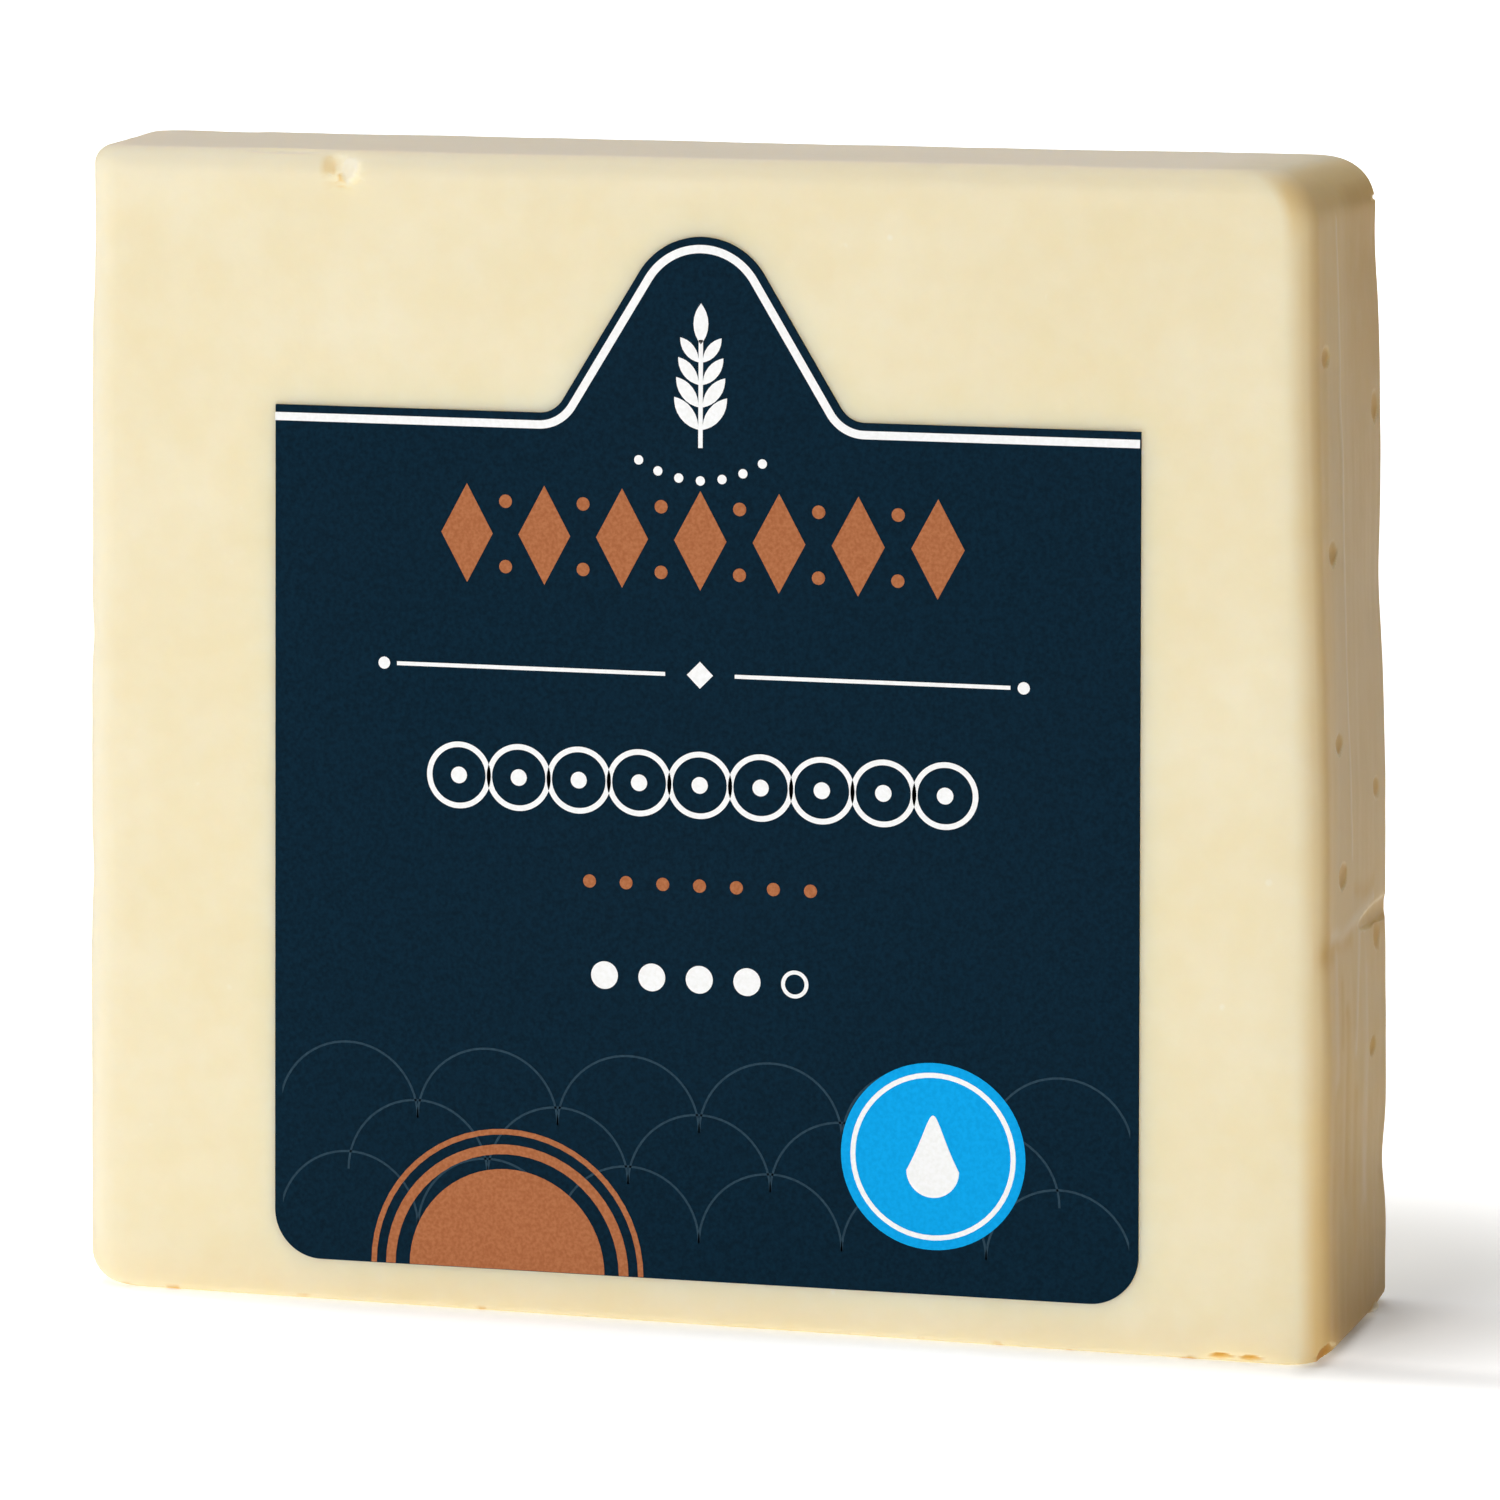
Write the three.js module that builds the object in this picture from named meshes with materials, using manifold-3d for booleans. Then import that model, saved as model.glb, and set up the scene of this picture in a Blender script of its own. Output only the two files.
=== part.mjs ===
// A block of aged cheddar standing on one long narrow side, with a die-cut label on its broad front.
// Millimetres, +Z up. The front faces -Y, and the origin is the middle of the footprint, on the table.

import * as THREE from 'three';
import { mergeVertices } from 'three/addons/utils/BufferGeometryUtils.js';
import Module from 'manifold-3d';

const wasm = await Module();
wasm.setup();

// Block: its greatest width, then how far each side leans in by the top.
// The left end is cut at a slant, so that its front stands in from its back.
const BLOCK_WIDTH = 120.7;
const BLOCK_HEIGHT = 104;
const BLOCK_DEPTH = 31;
const LEFT_LEAN = 0.7;
const RIGHT_LEAN = 2.8;
const LEFT_SLANT = 5.8;

// Rounding of the edges
const UPRIGHT_RADIUS = 3;
const TOP_FRONT_RADIUS = 2.2;
const TOP_BACK_RADIUS = 2;
const TOP_LEFT_RADIUS = 1.6;
const TOP_RIGHT_RADIUS = 4.6;
const BASE_RADIUS = 0.7;
const BASE_LEFT_RADIUS = 3;
const BASE_RIGHT_RADIUS = 1.6;

// Label: it widens a little towards its base, and a round-topped peak stands on its upper edge.
// It went on a little out of square: its base is shifted to the right, and rises to the right.
const LABEL_THICKNESS = 0.25;
const LABEL_CENTRE = 3.25;
const LABEL_TOP_WIDTH = 79.2;
const LABEL_BASE_WIDTH = 80.2;
const LABEL_BASE = 4.15;
const LABEL_BASE_SHIFT = 0.25;
const LABEL_BASE_RISE = 0.65;
const LABEL_TOP = 81.35;
const LABEL_CORNER_RADIUS = 4.4;
const PEAK_TOP = 97.2;
const PEAK_RADIUS = 6.7;
const PEAK_FLANK_LEAN = THREE.MathUtils.degToRad(31.5);
const PEAK_FOOT_RADIUS = 2.6;

// The label lies on the front, so the block sits back by half of its thickness to centre the whole
const FRONT = -BLOCK_DEPTH / 2 + LABEL_THICKNESS / 2;
const BACK = FRONT + BLOCK_DEPTH;
const RIGHT = BLOCK_WIDTH / 2;

// The corner between the slanted left end and the back would reach further left, were it not rounded
const SLANT_PITCH = LEFT_SLANT / BLOCK_DEPTH;
const CORNER_LOSS = UPRIGHT_RADIUS * (1 + SLANT_PITCH - Math.hypot(1, SLANT_PITCH));
const LEFT = -BLOCK_WIDTH / 2 - CORNER_LOSS;

// Facets: steps along each side of the block, some of them kept for the rounded edges
const STEPS = { x: 14, y: 14, z: 40 };
const ROUND_STEPS = 3;
const TOP_STEPS = 6;
const BASE_STEPS = 5;
const DENT_FACETS = { around: 12, down: 8 };
const LABEL_ARC_STEPS = 8;

// Soft dents where the curd was pressed: where the middle is, how far it is pushed, how wide it spreads
const SOFT_DENTS = [
  { at: [RIGHT, BACK, 97], push: [-0.45, 0, 0], spread: [6, 16, 6] },
  { at: [RIGHT, BACK, 66], push: [-0.3, 0, 0], spread: [6, 9, 5] },
  { at: [RIGHT, BACK, 13.5], push: [-0.45, 0, 0], spread: [6, 8, 3.5] },
  { at: [RIGHT, BACK, 2], push: [-0.25, 0, 0], spread: [6, 8, 6] },
  { at: [RIGHT, 6, 46], push: [0.25, 0, 0], spread: [6, 12, 9] },
  { at: [RIGHT, 0, 26], push: [0.25, 0, 0], spread: [6, 12, 8] },
  { at: [RIGHT, FRONT, 86], push: [-0.3, 0, 0], spread: [6, 8, 14] },
  { at: [RIGHT, FRONT, 45], push: [0.35, 0, 0], spread: [6, 8, 24] },
  { at: [LEFT + LEFT_SLANT, FRONT, 98], push: [0.35, 0, 0], spread: [5, 12, 10] },
  { at: [LEFT + LEFT_SLANT, FRONT, 60], push: [0.25, 0, 0], spread: [5, 12, 2.5] },
  { at: [LEFT + LEFT_SLANT, FRONT, 38], push: [0.2, 0, 0], spread: [5, 12, 3] },
  { at: [LEFT, 6, 74], push: [0.3, 0, 0], spread: [6, 10, 9] },
  { at: [-24, BACK, 58], push: [0, -0.3, 0], spread: [18, 6, 14] },
  { at: [30, BACK, 34], push: [0, -0.25, 0], spread: [15, 6, 10] },
  { at: [14, 4, BLOCK_HEIGHT], push: [0, 0, -0.2], spread: [22, 8, 4] },
];

// Small gaps between curds, which open on the sides and the back: across the face, up it, half sizes
const CURD_GAPS = [
  { face: 'right', across: -10, up: 87.9, width: 1.5, height: 0.9 },
  { face: 'right', across: -8.2, up: 70.7, width: 1.9, height: 1.1 },
  { face: 'right', across: -7.2, up: 53.8, width: 1.8, height: 1 },
  { face: 'right', across: -6, up: 42, width: 1.9, height: 1.2 },
  { face: 'right', across: 10.5, up: 82, width: 1.4, height: 1.5 },
  { face: 'right', across: 8.6, up: 48, width: 1.4, height: 1 },
  { face: 'right', across: 8.8, up: 34.6, width: 1.6, height: 1.5 },
  { face: 'right', across: 6.3, up: 24.9, width: 1.4, height: 0.9 },
  { face: 'left', across: -6.5, up: 81, width: 1.6, height: 0.9 },
  { face: 'left', across: 5.2, up: 63, width: 1.9, height: 1 },
  { face: 'left', across: -3.4, up: 41.5, width: 1.5, height: 1.1 },
  { face: 'left', across: 8.4, up: 22, width: 1.7, height: 0.9 },
  { face: 'back', across: -38, up: 79, width: 1.8, height: 0.9 },
  { face: 'back', across: 17, up: 88, width: 1.5, height: 0.8 },
  { face: 'back', across: 41, up: 52, width: 2, height: 1 },
  { face: 'back', across: -11, up: 27, width: 1.7, height: 1 },
];
const CURD_GAP_DEPTH = 0.55;

// Sharper marks: a crease that deepens to the rear of the right side, a nick and worn dips in the top
// edges, a notch in the rear corner, and chips along the base
const CREASE = { y: 15, z: 36.6, standOff: 0.1, radius: [0.5, 16, 1.2] };
const EDGE_CHIPS = [
  { at: [-30.2, FRONT + 0.5, 102.9], radius: [1, 1.3, 2] },
  { at: [-36.2, FRONT + 0.6, BLOCK_HEIGHT], radius: [6, 2, 0.6] },
  { at: [-51.2, BACK - 0.5, BLOCK_HEIGHT], radius: [3.5, 1.6, 0.5] },
  { at: [RIGHT - 3.4, BACK - 2, 100.4], radius: [0.7, 3, 0.45] },
  { at: [51, FRONT, 0], radius: [0.95, 0.7, 0.5] },
  { at: [53.6, FRONT, 0], radius: [0.8, 0.6, 0.45] },
  { at: [RIGHT - 0.4, FRONT + 2.8, 0.3], radius: [1, 2.4, 1.7] },
  { at: [RIGHT, BACK - 3.2, 0.2], radius: [1, 2.6, 1.1] },
];

// How far a rounded edge has drawn in, at a distance below (or above) the flat that it runs into
function drawnIn(radius, distance) {
  if (distance >= radius) return 0;
  return radius - Math.sqrt(radius ** 2 - (radius - distance) ** 2);
}

// Place of a grid line across a width of 1: narrow steps over the rounded ends, even ones between
function evenLine(step, steps, roundShare) {
  if (step <= ROUND_STEPS) return (roundShare * step) / ROUND_STEPS;
  if (step >= steps - ROUND_STEPS) return 1 - (roundShare * (steps - step)) / ROUND_STEPS;
  const share = (step - ROUND_STEPS) / (steps - 2 * ROUND_STEPS);
  return roundShare + (1 - 2 * roundShare) * share;
}

// Height of a grid row: bunched over the largest radius at the base and at the top, even between
function rowHeight(step) {
  const topStart = BLOCK_HEIGHT - TOP_RIGHT_RADIUS;
  const straightSteps = STEPS.z - BASE_STEPS - TOP_STEPS;
  if (step <= BASE_STEPS) {
    return BASE_LEFT_RADIUS * (1 - Math.cos(((step / BASE_STEPS) * Math.PI) / 2));
  }
  if (step >= BASE_STEPS + straightSteps) {
    const turn = (step - BASE_STEPS - straightSteps) / TOP_STEPS;
    return topStart + TOP_RIGHT_RADIUS * Math.sin((turn * Math.PI) / 2);
  }
  return BASE_LEFT_RADIUS + ((topStart - BASE_LEFT_RADIUS) * (step - BASE_STEPS)) / straightSteps;
}

// One level of the block: the rectangle that is left after its edges have drawn in and its sides leaned
function levelAt(z) {
  const base = drawnIn(BASE_RADIUS, z);
  const below = BLOCK_HEIGHT - z;
  const rise = z / BLOCK_HEIGHT;
  return {
    left: LEFT + drawnIn(BASE_LEFT_RADIUS, z) + drawnIn(TOP_LEFT_RADIUS, below) + LEFT_LEAN * rise,
    right: RIGHT - drawnIn(BASE_RIGHT_RADIUS, z) - drawnIn(TOP_RIGHT_RADIUS, below) - RIGHT_LEAN * rise,
    front: FRONT + base + drawnIn(TOP_FRONT_RADIUS, below),
    back: BACK - base - drawnIn(TOP_BACK_RADIUS, below),
  };
}

// A point of the level, with the square corners drawn onto quarter circles
function pointOnLevel(level, acrossShare, depthShare) {
  const point = new THREE.Vector2(
    THREE.MathUtils.lerp(level.left, level.right, acrossShare),
    THREE.MathUtils.lerp(level.front, level.back, depthShare),
  );
  const core = new THREE.Vector2(
    THREE.MathUtils.clamp(point.x, level.left + UPRIGHT_RADIUS, level.right - UPRIGHT_RADIUS),
    THREE.MathUtils.clamp(point.y, level.front + UPRIGHT_RADIUS, level.back - UPRIGHT_RADIUS),
  );
  const away = point.clone().sub(core);
  if (away.x === 0 || away.y === 0) return point;
  const reach = Math.max(Math.abs(away.x), Math.abs(away.y));
  return core.add(away.multiplyScalar(reach / away.length()));
}

// How far the slant of the left end moves a point of a level: most at the front left, not at all at the
// back or on the right side
function slantAt(level, x, y) {
  const frontShare = (BACK - y) / BLOCK_DEPTH;
  const leftShare = (level.right - x) / (level.right - level.left);
  return LEFT_SLANT * frontShare * leftShare;
}

// Push a point by every soft dent that reaches it
function pressDents(point) {
  const start = point.clone();
  for (const dent of SOFT_DENTS) {
    const away = start.clone().sub(new THREE.Vector3(...dent.at));
    const spread = new THREE.Vector3(...dent.spread);
    const fade = Math.exp(-away.divide(spread).lengthSq());
    point.addScaledVector(new THREE.Vector3(...dent.push), fade);
  }
  return point;
}

function blockGeometry() {
  const geometry = new THREE.BoxGeometry(1, 1, 1, STEPS.x, STEPS.y, STEPS.z);
  const positions = geometry.attributes.position;
  for (let i = 0; i < positions.count; i += 1) {
    const stepX = Math.round((positions.getX(i) + 0.5) * STEPS.x);
    const stepY = Math.round((positions.getY(i) + 0.5) * STEPS.y);
    const stepZ = Math.round((positions.getZ(i) + 0.5) * STEPS.z);
    const across = evenLine(stepX, STEPS.x, UPRIGHT_RADIUS / BLOCK_WIDTH);
    const depth = evenLine(stepY, STEPS.y, UPRIGHT_RADIUS / BLOCK_DEPTH);
    const z = rowHeight(stepZ);
    const level = levelAt(z);
    const plan = pointOnLevel(level, across, depth);
    const x = plan.x + slantAt(level, plan.x, plan.y);
    const point = pressDents(new THREE.Vector3(x, plan.y, z));
    positions.setXYZ(i, point.x, point.y, point.z);
  }
  return geometry;
}

// A dent cutter: a coarse ball, stretched and placed
function dentGeometry(at, radius) {
  const ball = new THREE.SphereGeometry(1, DENT_FACETS.around, DENT_FACETS.down);
  ball.scale(...radius);
  ball.translate(...at);
  return ball;
}

function toSolid(geometry) {
  const bare = geometry.clone();
  bare.deleteAttribute('normal');
  bare.deleteAttribute('uv');
  const merged = mergeVertices(bare);
  return new wasm.Manifold(new wasm.Mesh({
    numProp: 3,
    vertProperties: new Float32Array(merged.attributes.position.array),
    triVerts: new Uint32Array(merged.index.array),
  }));
}

function toGeometry(solid) {
  const mesh = solid.getMesh();
  const geometry = new THREE.BufferGeometry();
  geometry.setAttribute('position', new THREE.BufferAttribute(new Float32Array(mesh.vertProperties), 3));
  geometry.setIndex(new THREE.BufferAttribute(new Uint32Array(mesh.triVerts), 1));
  geometry.computeVertexNormals();
  return geometry;
}

// The cutter for a gap between curds, centred on the face that it opens on
function gapGeometry({ face, across, up, width, height }) {
  const level = levelAt(up);
  if (face === 'back') {
    return dentGeometry([across, level.back, up], [width, CURD_GAP_DEPTH, height]);
  }
  const x = face === 'right' ? level.right : level.left + slantAt(level, level.left, across);
  return dentGeometry([x, across, up], [CURD_GAP_DEPTH, width, height]);
}

function cheeseBlock() {
  const gaps = CURD_GAPS.map(gapGeometry);
  const creaseX = levelAt(CREASE.z).right + CREASE.standOff;
  const crease = dentGeometry([creaseX, CREASE.y, CREASE.z], CREASE.radius);
  const chips = EDGE_CHIPS.map((chip) => dentGeometry(chip.at, chip.radius));

  let solid = toSolid(blockGeometry());
  for (const cutter of [...gaps, crease, ...chips]) {
    solid = solid.subtract(toSolid(cutter));
  }

  const cheese = new THREE.MeshStandardMaterial({ color: '#ecdba6', roughness: 0.55, metalness: 0 });
  const mesh = new THREE.Mesh(toGeometry(solid), cheese);
  mesh.name = 'cheese_block';
  return mesh;
}

// Outline of the label, seen from the front: x across, y up
function labelOutline() {
  const quarter = Math.PI / 2;
  const footTurn = quarter - PEAK_FLANK_LEAN;
  const peakMiddle = PEAK_TOP - PEAK_RADIUS;
  const flankTop = peakMiddle + PEAK_RADIUS * Math.sin(PEAK_FLANK_LEAN);
  const flankFoot = PEAK_RADIUS * Math.cos(PEAK_FLANK_LEAN)
    + (flankTop - LABEL_TOP) * Math.tan(PEAK_FLANK_LEAN);
  const footReach = flankFoot + PEAK_FOOT_RADIUS * Math.tan(footTurn / 2);
  const footMiddle = LABEL_TOP + PEAK_FOOT_RADIUS;
  const cornerMiddle = LABEL_BASE + LABEL_CORNER_RADIUS;
  const cornerReach = LABEL_BASE_WIDTH / 2 - LABEL_CORNER_RADIUS;

  const outline = new THREE.Shape();
  outline.moveTo(-cornerReach, LABEL_BASE);
  outline.absarc(cornerReach, cornerMiddle, LABEL_CORNER_RADIUS, -quarter, 0, false);
  outline.lineTo(LABEL_TOP_WIDTH / 2, LABEL_TOP);
  outline.absarc(footReach, footMiddle, PEAK_FOOT_RADIUS, -quarter, -quarter - footTurn, true);
  outline.absarc(0, peakMiddle, PEAK_RADIUS, PEAK_FLANK_LEAN, Math.PI - PEAK_FLANK_LEAN, false);
  outline.absarc(-footReach, footMiddle, PEAK_FOOT_RADIUS, -quarter + footTurn, -quarter, true);
  outline.lineTo(-LABEL_TOP_WIDTH / 2, LABEL_TOP);
  outline.absarc(-cornerReach, cornerMiddle, LABEL_CORNER_RADIUS, Math.PI, Math.PI + quarter, false);
  return outline;
}

// Put the base out of square with the upper edge, which stays as it is with the peak
function putOutOfSquare(geometry) {
  const positions = geometry.attributes.position;
  for (let i = 0; i < positions.count; i += 1) {
    const x = positions.getX(i);
    const y = positions.getY(i);
    const share = Math.max(0, LABEL_TOP - y) / (LABEL_TOP - LABEL_BASE);
    positions.setX(i, x + LABEL_BASE_SHIFT * share);
    positions.setY(i, y + (LABEL_BASE_RISE * share * x) / LABEL_BASE_WIDTH);
  }
}

function label() {
  const sheet = new THREE.ExtrudeGeometry(labelOutline(), {
    depth: LABEL_THICKNESS,
    bevelEnabled: false,
    curveSegments: LABEL_ARC_STEPS,
  });
  putOutOfSquare(sheet);
  // Stand the outline up: its thickness then runs forward from the block's front
  sheet.rotateX(Math.PI / 2);
  const film = new THREE.MeshStandardMaterial({ color: '#04202f', roughness: 0.45, metalness: 0 });
  const mesh = new THREE.Mesh(sheet, film);
  mesh.name = 'label';
  mesh.position.set(LABEL_CENTRE, FRONT, 0);
  return mesh;
}

const block = new THREE.Group();
block.add(cheeseBlock(), label());

export default block;
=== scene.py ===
import math

import bmesh
import bpy
from mathutils import Matrix, Quaternion, Vector, geometry, noise


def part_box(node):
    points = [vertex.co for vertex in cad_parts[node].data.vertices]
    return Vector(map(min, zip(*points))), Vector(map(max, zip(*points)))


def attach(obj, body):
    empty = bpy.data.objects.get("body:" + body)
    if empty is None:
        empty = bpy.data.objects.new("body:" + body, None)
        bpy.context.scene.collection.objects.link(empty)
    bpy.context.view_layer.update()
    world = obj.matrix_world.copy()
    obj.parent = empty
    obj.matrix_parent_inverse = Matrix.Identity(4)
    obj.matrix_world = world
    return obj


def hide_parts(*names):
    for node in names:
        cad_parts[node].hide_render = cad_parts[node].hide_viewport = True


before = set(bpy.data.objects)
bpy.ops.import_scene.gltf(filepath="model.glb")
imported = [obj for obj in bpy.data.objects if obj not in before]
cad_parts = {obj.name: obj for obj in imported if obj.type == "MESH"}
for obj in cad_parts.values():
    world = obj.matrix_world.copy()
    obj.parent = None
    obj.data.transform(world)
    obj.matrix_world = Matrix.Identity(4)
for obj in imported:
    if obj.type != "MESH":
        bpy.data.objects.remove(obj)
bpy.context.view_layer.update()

mm = 0.001
cheeseLow, cheeseHigh = [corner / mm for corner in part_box("cheese_block")]
labelLow, labelHigh = [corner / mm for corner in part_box("label")]
right, back, top = cheeseHigh.x, cheeseHigh.y, cheeseHigh.z
cornerLoss = 0.55    # what rounding takes off the slanted rear corner
left, front = cheeseLow.x - cornerLoss, cheeseLow.y
tiny = 1e-6    # a length below this counts as none


def linear(hexColour):
    # sRGB hex to the linear colour that the shader sockets take
    channels = [int(hexColour[i:i + 2], 16) / 255 for i in (1, 3, 5)]
    return (*[c / 12.92 if c <= 0.04045 else ((c + 0.055) / 1.055) ** 2.4 for c in channels], 1.0)


def addNode(tree, kind, values=None, links=None, stops=None, **settings):
    # one node with its settings, its socket values, what is plugged into it and any colour stops
    node = tree.nodes.new(kind)
    for name, value in settings.items():
        setattr(node, name, value)
    for socket, value in (values or {}).items():
        node.inputs[socket].default_value = value
    for socket, source in (links or {}).items():
        tree.links.new(source, node.inputs[socket])
    for i, (position, hexColour) in enumerate(stops or []):
        elements = node.color_ramp.elements
        element = elements[i] if i < len(elements) else elements.new(position)
        element.position, element.color = position, linear(hexColour)
    return node


def newMaterial(name):
    material = bpy.data.materials.new(name)
    material.use_nodes = True
    material.node_tree.nodes.clear()
    return material, material.node_tree


def finishPiece(name, bm, material, replaced=None, smooth=True):
    # millimetres to metres, then a mesh at the origin that rides on the block
    bmesh.ops.scale(bm, vec=(mm, mm, mm), verts=bm.verts)
    mesh = bpy.data.meshes.new(name)
    bm.to_mesh(mesh)
    bm.free()
    if smooth:
        mesh.polygons.foreach_set("use_smooth", [True] * len(mesh.polygons))
    piece = bpy.data.objects.new(name, mesh)
    bpy.context.scene.collection.objects.link(piece)
    mesh.materials.append(material)
    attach(piece, "root")
    if replaced:
        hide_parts(replaced)
    print(name, len(mesh.vertices), "vertices")


# Camera: solved from the block's edges in the photograph

photoCamera = {
    "framePixels": 1500,
    "focalPixels": 7152,
    "azimuth": 16.169,      # degrees round to the right of the front
    "elevation": 7.804,
    "roll": 0.357,
    "target": Vector((3.37, 0.125, 49.907)),    # mm
    "distance": 646.5,
}


def placeCamera(s):
    camera = bpy.data.cameras.new("photoCamera")
    camera.lens = camera.sensor_width * s["focalPixels"] / s["framePixels"]
    around, up = math.radians(s["azimuth"]), math.radians(s["elevation"])
    backward = Vector((math.sin(around) * math.cos(up), -math.cos(around) * math.cos(up), math.sin(up)))
    holder = bpy.data.objects.new("photoCamera", camera)
    holder.location = (s["target"] + backward * s["distance"]) * mm
    roll = Quaternion((0, 0, 1), math.radians(s["roll"]))
    holder.rotation_euler = (backward.to_track_quat("Z", "Y") @ roll).to_euler()
    bpy.context.scene.collection.objects.link(holder)
    bpy.context.scene.camera = holder
    print("camera placed, lens", round(camera.lens, 1))


placeCamera(photoCamera)


# Cheese: the block's form, with the same sizes as the solid and a finer surface

leftSlant = 5.8    # how far the left end's front stands in from its back

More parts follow.
